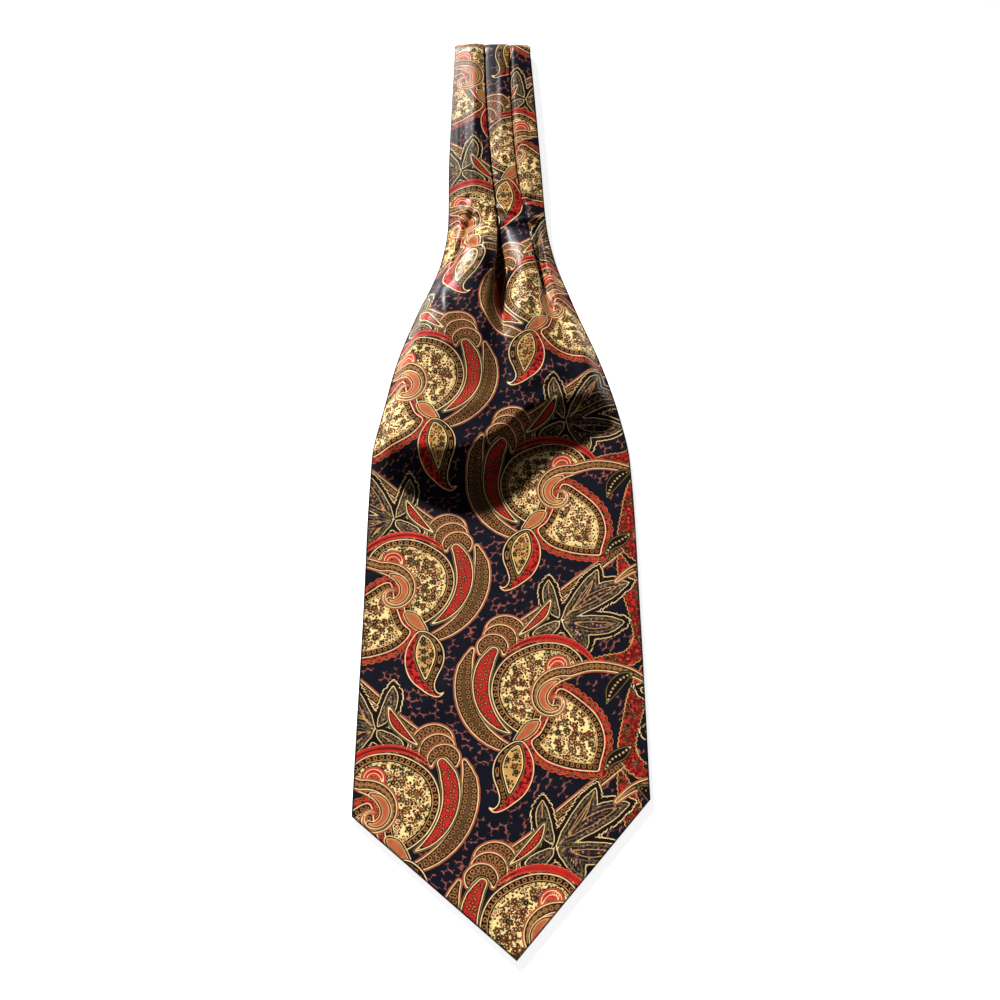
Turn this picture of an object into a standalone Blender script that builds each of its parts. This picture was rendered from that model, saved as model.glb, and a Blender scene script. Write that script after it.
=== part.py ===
"""A silk cravat folded in half at the centre back of its neck and laid flat.

The upper half is one printed length of silk: a pointed blade, a puffed throat where the pleats open,
and a pleated neck that turns over at the top. The other half lies under it. Each row across the
cloth is a strip, a pleat, a strip, a pleat and a strip. A pleat turns the cloth down and back by an
angle: 180 degrees in the neck, where it lies closed, less in the throat, and 0 in the flat blade.

Sizes in the tables are millimetres. +Y runs from the point to the neck fold, and +Z is up.
"""
import math

import bmesh
import bpy
from mathutils import Vector

MM = 0.001
LENGTH = 612.0  # from the point to the neck fold
WALL = 1.0  # silk, interlining and turned edges together
GAP = 0.3  # between pieces
LAYER = WALL + GAP  # pitch of closed pleats
CLOSED_TURN = math.pi * LAYER / 2  # cloth taken by half a turn of a closed pleat
POINT_X = 7.6  # the point sits a little to the right
POINT_LEFT = 72.0  # the point's slopes meet the sides this far up
POINT_RIGHT = 81.0
BLADE_END = 250.0  # flat blade up to here
THROAT_END = 432.0  # puffed throat up to here
NECK_END = 600.0  # pleated neck up to here, then the fold
EDGE_ROLL = 13.0  # the raised cloth rolls down to its edges over this width
EDGE_DROP = 0.85  # and loses this much of its height there
REAR_INSET = 1.2  # how far the hidden half stays inside the edge
REAR_BLADE = 1.4  # height of the hidden layers under the blade
REAR_NECK = 4.0  # and under the neck
REAR_LAYERS = 3  # layers that show at the hidden half's rim
RIM_ROUND = 0.35  # depth of the grooves between them
FIRST_STRAIGHT = 92.0  # rows above the point are straight from here

# The cloth row by row, at a distance from the point. left and right are the edges, ridge_1 and
# ridge_2 are where the strips end and the pleats begin. angle is how far a pleat turns the cloth,
# flank the flat part inside the pleat, turn the cloth in each of its turns, bow how much a strip
# arches in degrees.
ROWS = [
    dict(at=0, left=-77.65, ridge_1=-20.75, ridge_2=27.25, right=77.65, angle=0, flank=4, turn=10, bow=0),
    dict(at=90, left=-77.65, ridge_1=-20.75, ridge_2=27.25, right=77.65, angle=0, flank=4, turn=10, bow=0),
    dict(at=180, left=-77.15, ridge_1=-20.75, ridge_2=27.25, right=75.85, angle=0, flank=4, turn=10, bow=0),
    dict(at=282, left=-76.35, ridge_1=-20.75, ridge_2=27.25, right=74.25, angle=2, flank=4, turn=10, bow=3),
    dict(at=315, left=-70.55, ridge_1=-18.75, ridge_2=26.25, right=69.65, angle=6, flank=4, turn=9, bow=6),
    dict(at=350, left=-63.85, ridge_1=-16.75, ridge_2=24.25, right=59.95, angle=22, flank=4, turn=7, bow=12),
    dict(at=385, left=-51.95, ridge_1=-11.75, ridge_2=21.25, right=47.35, angle=50, flank=4, turn=5, bow=24),
    dict(at=404, left=-44.25, ridge_1=-7.75, ridge_2=21.25, right=40.85, angle=75, flank=5, turn=4, bow=28),
    dict(at=422, left=-38.35, ridge_1=-4.75, ridge_2=19.25, right=34.95, angle=120, flank=7, turn=3, bow=20),
    dict(at=441, left=-34.85, ridge_1=-3.75, ridge_2=17.25, right=30.75, angle=165, flank=10, turn=2.4, bow=10),
    dict(at=460, left=-33.95, ridge_1=-4.05, ridge_2=14.25, right=28.55, angle=180, flank=13, turn=2.04, bow=6),
    dict(at=500, left=-34.25, ridge_1=-7.95, ridge_2=8.75, right=26.25, angle=180, flank=14, turn=2.04, bow=5),
    dict(at=560, left=-32.95, ridge_1=-11.55, ridge_2=5.25, right=22.75, angle=180, flank=14, turn=2.04, bow=4),
    dict(at=612, left=-31.55, ridge_1=-13.25, ridge_2=4.25, right=19.55, angle=180, flank=14, turn=2.04, bow=3),
]

# The swag's lower foot from side to side: where the cloth lifts off, and how tall the puff is there.
SWAG = [
    dict(x=-80, foot=276, height=3),
    dict(x=-50, foot=258, height=9),
    dict(x=-25, foot=252, height=12),
    dict(x=15, foot=262, height=11.5),
    dict(x=50, foot=284, height=8),
    dict(x=80, foot=300, height=2.5),
]
SWAG_RISE = 46.0  # length of the slope from its foot to its crest
SWAG_FALL_FROM = 352.0  # behind the crest the puff sinks to the neck
SWAG_FALL_TO = 436.0

# Faces across the cloth: in a strip, in a turn of a pleat, in its flank, and in the flat part of the
# next strip that lies under it.
PLEAT = [("turn", 5), ("flank", 2), ("turn", 5), ("under", 2)]
ACROSS = [("strip", 5), *PLEAT, ("strip", 5), *PLEAT, ("strip", 5)]
SHORTEST = 0.5  # the part under a pleat that is still open


def smooth(value):
    """0 below 0, 1 above 1, and a soft step between."""
    value = min(max(value, 0.0), 1.0)
    return value * value * (3 - 2 * value)


def read(table, key, at, column):
    """Reads a column of a table at any place, along a smooth curve through its rows."""
    at = min(max(at, table[0][key]), table[-1][key])
    after = next(i for i in range(1, len(table)) if at <= table[i][key])
    before = after - 1
    first, last = max(before - 1, 0), min(after + 1, len(table) - 1)
    span = table[after][key] - table[before][key]
    step = (at - table[before][key]) / span
    low, high = table[before][column], table[after][column]
    slope_low = (high - table[first][column]) / (table[after][key] - table[first][key]) * span
    slope_high = (table[last][column] - low) / (table[last][key] - table[before][key]) * span
    square, cube = step * step, step ** 3
    return (
        low * (2 * cube - 3 * square + 1)
        + slope_low * (cube - 2 * square + step)
        + high * (3 * square - 2 * cube)
        + slope_high * (cube - square)
    )


def rear_top(at):
    """Height of the hidden layers under the cloth."""
    return REAR_BLADE + (REAR_NECK - REAR_BLADE) * smooth((at - 300) / 130)


def swag(x, at):
    """How far the puffed throat lifts the cloth."""
    foot = read(SWAG, "x", x, "foot")
    rise = smooth((at - foot) / SWAG_RISE)
    fall = 1 - smooth((at - SWAG_FALL_FROM) / (SWAG_FALL_TO - SWAG_FALL_FROM))
    return read(SWAG, "x", x, "height") * rise * fall


def bend(places, start, sweep, length, steps):
    """Follows a bend of the cloth from its last place, from one slope to another."""
    for step in range(steps):
        x, z, _ = places[-1]
        slope = math.radians(start + sweep * (step + 0.5) / steps)
        size = length / steps
        places.append((x + size * math.cos(slope), z + size * math.sin(slope), slope))


def section(at):
    """The middle of the wall across one row, as (x, z) from the left edge to the right."""
    row = {name: read(ROWS, "at", at, name) for name in ROWS[0]}
    angle, turn, flank, bow = min(row["angle"], 180.0), row["turn"], row["flank"], row["bow"]
    turn = max(turn, CLOSED_TURN)
    ridges = [row["left"], row["ridge_1"], row["ridge_2"], row["right"]]
    arch = math.sin(max(math.radians(bow), 1e-6)) / max(math.radians(bow), 1e-6)
    places = [(row["left"], 0.0, 0.0)]
    strips = iter(range(3))
    turned = 0.0
    for kind, steps in ACROSS:
        if kind == "strip":
            strip = next(strips)
            start = places[-1][0]
            bend(places, bow, -2 * bow, (ridges[strip + 1] - start) / arch, steps)
        elif kind == "turn":
            sweep = -angle if turned == 0 else angle
            bend(places, turned, sweep, turn, steps)
            turned += sweep
        elif kind == "flank":
            bend(places, turned, 0, flank, steps)
        else:
            bend(places, 0, 0, max(ridges[strip + 1] - places[-1][0], SHORTEST), steps)
    drop = places[-1][1]
    width = row["right"] - row["left"]
    level = [(x, z - drop * (x - row["left"]) / width) for x, z, _ in places]
    lowest = min(z for _, z in level)
    lifted = [(x, z - lowest + swag(x, at)) for x, z in level]
    rolled = [(x, z - edge_roll(x, lifted)) for x, z in lifted]
    lowest = min(z for _, z in rolled)
    return [(x, base_height(at) + z - lowest) for x, z in rolled]


def base_height(at):
    """Height of the middle of the wall where it lies on the hidden layers."""
    return rear_top(at) + GAP + WALL / 2


def edge_roll(x, lifted):
    """How far the cloth comes down here as it rolls over to an edge."""
    (left, left_lift), (right, right_lift) = lifted[0], lifted[-1]
    near_left = 1 - smooth((x - left) / EDGE_ROLL)
    near_right = 1 - smooth((right - x) / EDGE_ROLL)
    return EDGE_DROP * (left_lift * near_left + right_lift * near_right)


def point_edge(x):
    """Where the pointed end's edge lies at this place across the blade."""
    if x < POINT_X:
        return POINT_LEFT * (POINT_X - x) / (POINT_X - ROWS[0]["left"])
    return POINT_RIGHT * (x - POINT_X) / (ROWS[0]["right"] - POINT_X)


def cloth_color(name, color):
    """A silk finish with its own base colour."""
    material = bpy.data.materials.new(name)
    material.use_nodes = True
    shader = material.node_tree.nodes["Principled BSDF"]
    shader.inputs["Base Color"].default_value = (*color, 1)
    shader.inputs["Roughness"].default_value = 0.42
    shader.inputs["Metallic"].default_value = 0.0
    return material


def grid(name, across, along, place, collection, material):
    """A grid of faces named for its piece, with each corner put where place(i, j) says."""
    bpy.ops.mesh.primitive_grid_add(x_subdivisions=across, y_subdivisions=along, size=1)
    piece = bpy.context.active_object
    piece.name = piece.data.name = name
    for vertex in piece.data.vertices:
        i = round((vertex.co.x + 0.5) * across)
        j = round((vertex.co.y + 0.5) * along)
        vertex.co = Vector(place(i, j)) * MM
    for other in list(piece.users_collection):
        other.objects.unlink(piece)
    collection.objects.link(piece)
    piece.data.materials.append(material)
    piece.data.shade_smooth()
    return piece


def add_wall(piece):
    """Gives an open cloth surface its wall, half to each side."""
    wall = piece.modifiers.new("wall", "SOLIDIFY")
    wall.thickness = WALL * MM
    wall.offset = 0
    wall.use_even_offset = True
    piece.data.set_sharp_from_angle(angle=math.radians(50))


def front_stretch(name, start, end, rows, collection, material):
    """A stretch of the pleated front between two distances from the point."""
    sections = [section(start + (end - start) * j / rows) for j in range(rows + 1)]

    def place(i, j):
        x, z = sections[j][i]
        return x, start + (end - start) * j / rows - LENGTH / 2, z

    piece = grid(name, len(sections[0]) - 1, rows, place, collection, material)
    add_wall(piece)


def front_blade(collection, material):
    """The flat blade, whose rows close up towards its point."""
    left_steps, right_steps, rows = 9, 8, 12

    def place(i, j):
        if i <= left_steps:
            x = ROWS[0]["left"] + (POINT_X - ROWS[0]["left"]) * i / left_steps
        else:
            x = POINT_X + (ROWS[0]["right"] - POINT_X) * (i - left_steps) / right_steps
        at = point_edge(x) + (BLADE_END - GAP - point_edge(x)) * j / rows
        left, right = read(ROWS, "at", at, "left"), read(ROWS, "at", at, "right")
        share = (x - ROWS[0]["left"]) / (ROWS[0]["right"] - ROWS[0]["left"])
        x = left + (right - left) * share if at > POINT_RIGHT else x
        return x, at - LENGTH / 2, base_height(at)

    piece = grid("front_blade", left_steps + right_steps, rows, place, collection, material)
    add_wall(piece)


def height_at(row, x):
    """Height of the top of the pleats at a place across a row."""
    tops = []
    for (x_1, z_1), (x_2, z_2) in zip(row, row[1:]):
        if min(x_1, x_2) <= x <= max(x_1, x_2) and abs(x_2 - x_1) > 1e-9:
            tops.append(z_1 + (z_2 - z_1) * (x - x_1) / (x_2 - x_1))
    return max(tops) + WALL / 2


def neck_fold(collection, material):
    """The turn at the centre back: all the layers as one rounded solid, from the top to z = 0."""
    around, start = 10, NECK_END + GAP
    row = section(NECK_END)
    left, right = row[0][0], row[-1][0]
    edges = [read(ROWS, "at", NECK_END, name) + 0.6 for name in ("ridge_1", "ridge_2")]
    columns = [left + 0.05]
    for stop in (*edges, right):
        first = columns[-1]
        columns += [first + (stop - 0.1 - first) * step / 5 for step in range(1, 6)]
        if stop != right:
            columns.append(stop + 0.3)
    reach = LENGTH - start

    def place(i, j):
        x = columns[i]
        top = height_at(row, x)
        turn = math.pi * j / around
        shrink = 1 - 0.006 * math.sin(turn)
        return x * shrink, start - LENGTH / 2 + reach * math.sin(turn), top / 2 * (1 + math.cos(turn))

    piece = grid("neck_fold", len(columns) - 1, around, place, collection, material)
    piece.data.flip_normals()
    close_open_edge(piece)


def close_open_edge(piece):
    """Fills the one open edge of a surface, so that it becomes a solid."""
    mesh = bmesh.new()
    mesh.from_mesh(piece.data)
    rim = [edge for edge in mesh.edges if edge.is_boundary]
    bmesh.ops.triangle_fill(mesh, edges=rim, use_beauty=True)
    bmesh.ops.recalc_face_normals(mesh, faces=mesh.faces)
    mesh.to_mesh(piece.data)
    mesh.free()


def edge_levels():
    """The hidden half's rim from z = 0 up: (share of its height, inset), rounded at each layer."""
    levels = []
    for layer in range(REAR_LAYERS):
        for share, inset in ((0.0, RIM_ROUND), (0.25, 0.0), (0.75, 0.0)):
            levels.append(((layer + share) / REAR_LAYERS, inset))
    return levels + [(1.0, RIM_ROUND)]


def rear_half(collection, material):
    """The hidden half: its layers as one solid, flat below, with grooves between them at the rim."""
    across, along = 9, 24

    def place(i, j, share=0.0, inset=RIM_ROUND):
        inset += REAR_INSET
        if j == 0:
            left, right = ROWS[0]["left"] + inset, ROWS[0]["right"] - inset
        else:
            at = FIRST_STRAIGHT + (NECK_END - FIRST_STRAIGHT) * (j - 1) / (along - 1)
            left, right = read(ROWS, "at", at, "left") + inset, read(ROWS, "at", at, "right") - inset
        middle = across // 2 + 1
        if i <= middle:
            x = left + (POINT_X * left / ROWS[0]["left"] - left) * i / middle
        else:
            start = POINT_X * left / ROWS[0]["left"]
            x = start + (right - start) * (i - middle) / (across - middle)
        if j == 0:
            at = point_edge(x) + inset * 1.4
        return x, at - LENGTH / 2, share * rear_top(at)

    piece = grid("rear_half", across, along, place, collection, material)
    mesh = bmesh.new()
    mesh.from_mesh(piece.data)
    column = mesh.verts.layers.int.new("column")
    row = mesh.verts.layers.int.new("row")
    for number, vertex in enumerate(mesh.verts):
        vertex[column] = number % (across + 1)
        vertex[row] = number // (across + 1)
    faces = list(mesh.faces)
    for level, (share, inset) in enumerate(edge_levels()[1:]):
        grown = bmesh.ops.extrude_face_region(mesh, geom=faces)["geom"]
        if level > 0:
            bmesh.ops.delete(mesh, geom=faces, context="FACES")
        faces = [part for part in grown if isinstance(part, bmesh.types.BMFace)]
        for vertex in {corner for face in faces for corner in face.verts}:
            vertex.co = Vector(place(vertex[column], vertex[row], share, inset)) * MM
    bmesh.ops.recalc_face_normals(mesh, faces=mesh.faces)
    mesh.to_mesh(piece.data)
    mesh.free()
    piece.data.set_sharp_from_angle(angle=math.radians(40))


def main():
    for old in list(bpy.data.objects):
        bpy.data.objects.remove(old)
    collection = bpy.data.collections.new("silk_cravat")
    bpy.context.scene.collection.children.link(collection)
    front_blade(collection, cloth_color("blade_silk", (0.10, 0.06, 0.045)))
    front_stretch("front_throat", BLADE_END, THROAT_END, 26, collection,
                  cloth_color("throat_silk", (0.16, 0.09, 0.05)))
    front_stretch("front_neck", THROAT_END + GAP, NECK_END, 10, collection,
                  cloth_color("neck_silk", (0.14, 0.08, 0.05)))
    neck_fold(collection, cloth_color("fold_silk", (0.12, 0.07, 0.05)))
    rear_half(collection, cloth_color("rear_silk", (0.09, 0.055, 0.045)))


main()
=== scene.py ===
import math

import bmesh
import bpy
import numpy as np
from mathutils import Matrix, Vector


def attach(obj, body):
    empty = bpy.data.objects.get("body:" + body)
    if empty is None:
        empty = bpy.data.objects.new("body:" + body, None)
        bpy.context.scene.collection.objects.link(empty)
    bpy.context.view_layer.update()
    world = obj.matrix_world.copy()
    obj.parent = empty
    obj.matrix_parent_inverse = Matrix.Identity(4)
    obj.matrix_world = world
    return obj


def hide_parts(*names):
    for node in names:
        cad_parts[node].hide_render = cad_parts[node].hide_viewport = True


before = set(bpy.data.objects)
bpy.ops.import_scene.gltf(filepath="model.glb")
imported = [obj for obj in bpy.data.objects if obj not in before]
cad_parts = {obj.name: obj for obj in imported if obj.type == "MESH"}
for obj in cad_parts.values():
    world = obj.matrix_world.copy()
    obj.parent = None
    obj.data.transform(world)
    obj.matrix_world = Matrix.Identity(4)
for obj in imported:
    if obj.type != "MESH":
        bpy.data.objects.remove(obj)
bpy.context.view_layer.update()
mm = 0.001
print("frame loaded")

cloth = {  # millimetres, the same as the frame's
    "length": 612.0,  # point to neck fold
    "width": 155.3,  # blade, and the cut
    "wall": 1.0,
    "gap": 0.3,
    "pointX": 7.6,
    "pointLeft": 72.0,
    "pointRight": 81.0,
    "bladeEnd": 250.0,
    "throatEnd": 432.0,
    "neckEnd": 600.0,
    "rearBlade": 1.4,  # how high the half behind stands under the blade
    "rearNeck": 4.0,  # and under the neck, where it lies in layers
    "layersFrom": 300.0,
    "layersOver": 130.0,
    "edgeRoll": 13.0,
    "edgeDrop": 0.85,
    "pleatsOver": 40.0,  # how far past the blade the pleats take to rise
    "creaseFade": 9.0,  # creases die out this near an edge
    "lip": (0.0, 6.0, 34.0),  # how steeply each strip comes out of the pleat before it in the neck
    "lipFrom": 420.0,
    "lipOver": 40.0,
    "lipAt": 2.6,
    "lipWide": 1.3,
    "step": 1.05,  # one face of the fine cloth
}

# rows up the cloth: both edges, the ridge where each strip folds under, how far the pleats turn,
# the flat flank hidden in each, the cloth in each turn, and how much the strips arch, in degrees
foldNames = ("at", "left", "ridge1", "ridge2", "right", "angle", "flank1", "flank2", "turn", "bow")
foldRows = [
    (0, -77.65, -20.75, 27.25, 77.65, 0, 4, 4, 10, 0),
    (90, -77.65, -20.75, 27.25, 77.65, 0, 4, 4, 10, 0),
    (180, -76.85, -20.75, 27.25, 77.35, 0, 4, 4, 10, 0),
    (282, -76.05, -20.75, 27.25, 75.65, 2, 4, 4, 10, 3),
    (315, -70.55, -18.75, 26.25, 70.05, 6, 4, 4, 9, 6),
    (350, -63.35, -16.75, 24.25, 60.35, 22, 5, 4, 7, 13),
    (385, -51.95, -11.75, 21.25, 47.35, 50, 6, 4, 5, 25),
    (404, -44.25, -7.75, 21.25, 40.85, 75, 8, 5, 4, 30),
    (422, -38.35, -4.75, 19.25, 34.95, 120, 11, 6, 3, 26),
    (441, -34.85, -3.75, 17.25, 30.75, 165, 15, 6, 2.4, 18),
    (460, -33.95, -4.05, 14.25, 28.55, 180, 19, 5, 2.04, 16),
    (500, -34.25, -7.95, 8.75, 26.25, 180, 22, 3, 2.04, 16),
    (560, -32.95, -11.55, 5.25, 22.75, 180, 20, 3, 2.04, 14),
    (612, -31.55, -13.25, 4.25, 19.55, 180, 17, 3, 2.04, 12),
]
swagNames = ("x", "foot", "height")  # where the puff starts, and how high it stands
swagRows = [
    (-80, 270, 8), (-50, 260, 15.5), (-25, 258, 17), (-2, 270, 16), (20, 290, 14), (50, 298, 12.5), (80, 306, 6),
]
swag = {"rise": 27.0, "fallFrom": 350.0, "fallTo": 436.0}

# creases: where each starts and ends, x and at, then how wide and how high, below zero for a trough
creaseRows = [
    (-52, 246, -4, 252, 9, -1.3),
    (-40, 300, -8, 318, 8, 1.0),
    (2, 322, 40, 340, 7, 1.3),
    (-1, 450, 1, 366, 3.8, -5.0),
    (13, 428, 15, 368, 8, 2.6),
    (23.5, 455, 26, 396, 3.2, -3.0),
    (28, 446, 35, 384, 4.2, 3.0),
    (-18.5, 462, -33.5, 400, 2.8, -4.2),
    (-10.5, 448, -11, 404, 5.4, 3.4),
    (-20, 435, -15, 426, 3, -3.2),
    (-36, 392, -30, 352, 5, 1.6),
    (33, 404, 44, 352, 5, -2.0),
    (36, 420, 40, 380, 4, 1.4),
    (-29, 464, -12, 459, 2.8, 1.9),
    (-5, 467, 10, 461, 2.6, 1.6),
    (10, 455, 25, 460, 2.8, 1.8),
    (-26, 452, -8, 448, 2.6, -1.5),
    (0, 452, 20, 447, 2.6, -1.2),
    (-26, 474, -12, 471, 2.4, -1.0),
    (14, 471, 24, 474, 2.4, -0.9),
    (-27, 545, -26, 480, 2.6, -1.1),
    (-17, 600, -17.5, 480, 2.8, 0.9),
    (0, 600, 1, 500, 2.8, 0.9),
    (17, 600, 20, 480, 2.6, -0.9),
    (-60, 330, -46, 350, 7, -1.2),
    (56, 322, 40, 312, 8, -1.0),
    (-66, 222, -40, 236, 12, 0.8),
    (22, 236, 62, 250, 12, -0.9),
    (-70, 120, -10, 150, 16, 0.7),
    (0, 96, 66, 128, 18, -0.6),
    (-40, 60, 20, 88, 15, 0.5),
    (30, 168, 70, 190, 14, 0.6),
    (-22, 492, -24, 446, 3, -0.8),
    (14, 540, 12, 470, 3, -0.6),
    (-24, 590, -23, 520, 3.2, -0.6),
]


def smoothStep(value):
    value = np.clip(value, 0.0, 1.0)
    return value * value * (3 - 2 * value)


def tableReader(names, rows):
    # reads a column at any place, along a smooth curve through the rows
    table = np.array(rows, float)
    places = table[:, 0]

    def read(name, at):
        column = table[:, names.index(name)]
        at = np.clip(at, places[0], places[-1])
        after = np.clip(np.searchsorted(places, at), 1, len(places) - 1)
        before = after - 1
        first, last = np.maximum(before - 1, 0), np.minimum(after + 1, len(places) - 1)
        span = places[after] - places[before]
        share = (at - places[before]) / span
        slopeLow = (column[after] - column[first]) / (places[after] - places[first]) * span
        slopeHigh = (column[last] - column[before]) / (places[last] - places[before]) * span
        square, cube = share ** 2, share ** 3
        return (column[before] * (2 * cube - 3 * square + 1) + slopeLow * (cube - 2 * square + share)
                + column[after] * (3 * square - 2 * cube) + slopeHigh * (cube - square))

    return read


readFold = tableReader(foldNames, foldRows)
readSwag = tableReader(swagNames, swagRows)


def layered(at):
    # how far the half behind has been folded into its layers
    return smoothStep((at - cloth["layersFrom"]) / cloth["layersOver"])


def rearTop(at):
    return cloth["rearBlade"] + (cloth["rearNeck"] - cloth["rearBlade"]) * layered(at)


def restHeight(at):
    # the middle of the wall where the front lies straight on the half behind
    return rearTop(at) + cloth["gap"] + cloth["wall"] / 2


def swagLift(x, at):
    # the puff of cloth that hangs over the blade below the throat
    rise = smoothStep((at - readSwag("foot", x)) / swag["rise"])
    fall = 1 - smoothStep((at - swag["fallFrom"]) / (swag["fallTo"] - swag["fallFrom"]))
    return readSwag("height", x) * rise * fall


def creaseLift(x, at):
    # soft troughs and ridges laid one by one, each along a short line
    lift = 0.0
    for fromX, fromAt, toX, toAt, wide, high in creaseRows:
        runX, runAt = toX - fromX, toAt - fromAt
        share = np.clip(((x - fromX) * runX + (at - fromAt) * runAt) / (runX ** 2 + runAt ** 2), 0, 1)
        away = np.hypot(x - fromX - share * runX, at - fromAt - share * runAt)
        lift = lift + high * np.exp(-(away / wide) ** 2 * 1.6) * (0.35 + 0.65 * np.sin(math.pi * share))
    return lift


def acrossPlan(stripFaces):
    # faces across: a strip, then turn, flank, turn and the part that lies under, twice, then a strip
    pleat = [("turn", 8), ("flank", 4), ("turn", 8), ("under", 3)]
    first, second, third = stripFaces
    return [("strip", first), *pleat, ("strip", second), *pleat, ("strip", third)]


def section(at, plan):
    # the middle of the wall across one row: x, z and the run of cloth from the left edge
    row = {name: float(readFold(name, at)) for name in foldNames}
    angle, bow = min(row["angle"], 180.0), row["bow"]
    turn = max(row["turn"], math.pi * (cloth["wall"] + cloth["gap"]) / 2)
    ridges = [row["left"], row["ridge1"], row["ridge2"], row["right"]]
    x, z, run = [row["left"]], [0.0], [0.0]
    lipShare = float(smoothStep((at - cloth["lipFrom"]) / cloth["lipOver"]))

    def bend(slopes, length):
        for slope in np.radians(slopes):
            x.append(x[-1] + length / len(slopes) * math.cos(slope))
            z.append(z[-1] + length / len(slopes) * math.sin(slope))
            run.append(run[-1] + length / len(slopes))

    strip, turned = 0, 0.0
    for kind, steps in plan:
        if kind == "strip":
            share = (np.arange(steps) + 0.5) / steps
            width = ridges[strip + 1] - x[-1]
            lip = np.exp(-((share * width - cloth["lipAt"]) / cloth["lipWide"]) ** 2)
            slopes = bow * (1 - 2 * share) + cloth["lip"][strip] * lipShare * lip
            bend(slopes, width / np.cos(np.radians(slopes)).mean())
            strip += 1
        elif kind == "turn":
            sweep = -angle if turned == 0 else angle
            bend(turned + sweep * (np.arange(steps) + 0.5) / steps, turn)
            turned += sweep
        elif kind == "flank":
            bend([turned] * steps, row[f"flank{strip}"])
        else:
            bend([0.0] * steps, max(ridges[strip] - x[-1], 0.5))
    x, z, run = np.array(x), np.array(z), np.array(run)
    begun = smoothStep((at - cloth["bladeEnd"]) / cloth["pleatsOver"])  # pleats rise out of the flat blade
    z = z - z[-1] * (x - x[0]) / (x[-1] - x[0])
    z = (z - z.min()) * begun + swagLift(x, at)
    nearLeft = 1 - smoothStep((x - x[0]) / cloth["edgeRoll"])
    nearRight = 1 - smoothStep((x[-1] - x) / cloth["edgeRoll"])
    z = z - cloth["edgeDrop"] * (z[0] * nearLeft + z[-1] * nearRight)
    z = z - z.min() + rearTop(at) + cloth["gap"] + cloth["wall"] / 2
    inside = smoothStep(np.minimum(x - x[0], x[-1] - x) / cloth["creaseFade"])
    z = np.maximum(z + creaseLift(x, at) * inside, restHeight(at))
    spare = (cloth["width"] - run[-1]) / 2  # turned under along both edges
    level = (x - x[0]) / (x[-1] - x[0]) * cloth["width"]
    return x, z, (run + spare) * begun + level * (1 - begun)


def pointEdge(x):
    # where the cloth starts up from the point, which lies a little right of the middle
    left, right = foldRows[0][1], foldRows[0][4]
    return np.where(x < cloth["pointX"], cloth["pointLeft"] * (cloth["pointX"] - x) / (cloth["pointX"] - left),
                    cloth["pointRight"] * (x - cloth["pointX"]) / (right - cloth["pointX"]))


# the print is one big paisley, drawn round the bead where its parts join, u to the right and v up.
# It repeats up the cloth, and each next column is its mirror image, half a repeat higher
repeat = {"up": 125.5, "firstBead": -8.0, "beadX": 13.2, "lean": 0.042, "leanFrom": 117.5, "mirrorX": -63.5,
          "farX": 116.0}

# curls are parts of a spiral: centre, radius from and to, turn from and to, half widths along it
curlRows = [
    ("band", 6, 25, 43.2, 37, 150, 251, (1.6, 4.6, 5.0, 5.0, 4.6, 3.8, 2.2)),
    ("lens", 6, 25, 33, 29.6, 141, 240, (2.6, 4.6, 4.7, 4.4, 3.8, 2.6, 0.4)),
    ("plumeFront", -20, 46, 6.6, 6.2, 192, -20, (1.6, 3.6, 4.0, 3.8, 3.0, 1.0)),
    ("plumeMiddle", -17, 50.5, 7.8, 7.2, 178, -38, (1.3, 3.3, 4.0, 4.0, 3.2, 1.0)),
    ("plumeTop", -14.5, 54, 9.8, 9, 176, -48, (1.1, 3.1, 3.9, 4.1, 3.3, 1.0)),
    ("arch", 10, 22, 32.2, 31, 134, 30, (0.4, 1.3, 1.7, 1.9, 1.5, 0.4)),
    ("curl", 17, 37, 6.6, 1.5, 210, -170, (0.5, 1.3, 1.4, 1.1, 0.6)),
    ("core", 15, 17, 11.6, 3.6, 84, 290, (0.5, 1.9, 2.1, 1.7, 0.6)),
]
# brushes are strokes through a few places: (u, v, half width)
brushRows = [
    ("band", [(-9, 60, 1.8), (6, 70, 2.6), (22, 84, 2.7), (40, 99, 2.7), (58, 114, 2.4)]),
    ("band", [(60, 30, 1.0), (57, 20, 2.8), (55, 6, 2.8), (51, -6, 1.6), (49, -10, 0.5)]),
    ("core", [(5.5, 5, 1.2), (2, 2.2, 3.1), (-1.5, -1.5, 2.4), (-5.5, -5, 0.5)]),
    ("lens", [(-6, 55.5, 0.4), (0, 60.5, 1.8), (7, 68, 2.6), (11, 76, 0.6)]),
    ("red", [(30, 38.5, 0.8), (42, 41, 2.2), (55, 42, 4.2), (62, 52, 4.4), (60, 68, 4.4), (56, 84, 5.0),
             (52, 97, 3.0), (50, 104, 0.5)]),
    ("drop", [(-2, -6, 0.8), (-4.5, -12, 6.6), (-6, -20, 10.8), (-6, -28, 8.6), (-8, -35, 4.8),
              (-11, -40, 2.4), (-15, -42.5, 1.1), (-18, -41, 0.3)]),
    ("leaf", [(-4, -8, 0.4), (-5.5, -13, 3.6), (-6.5, -19, 5.0), (-7, -26, 3.0), (-7.5, -33, 0.3)]),
    ("pod", [(57, 33, 0.6), (51, 30, 3.4), (46, 24, 3.6), (43, 16, 0.6)]),
    ("pod", [(56, -8, 0.6), (51, -12, 3.4), (46, -15, 3.0), (42, -21, 0.6)]),
]
volute = {
    "lead": [(68, 25), (59, 32), (47, 36), (34, 37)], "u": 15, "v": 17, "radiusFrom": 18.5, "radiusTo": 2.4,
    "turnFrom": 66, "turnTo": 470, "halfWidths": (1.2, 2.5, 2.9, 3.0, 2.8, 2.3, 1.6, 0.8),
}
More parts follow.
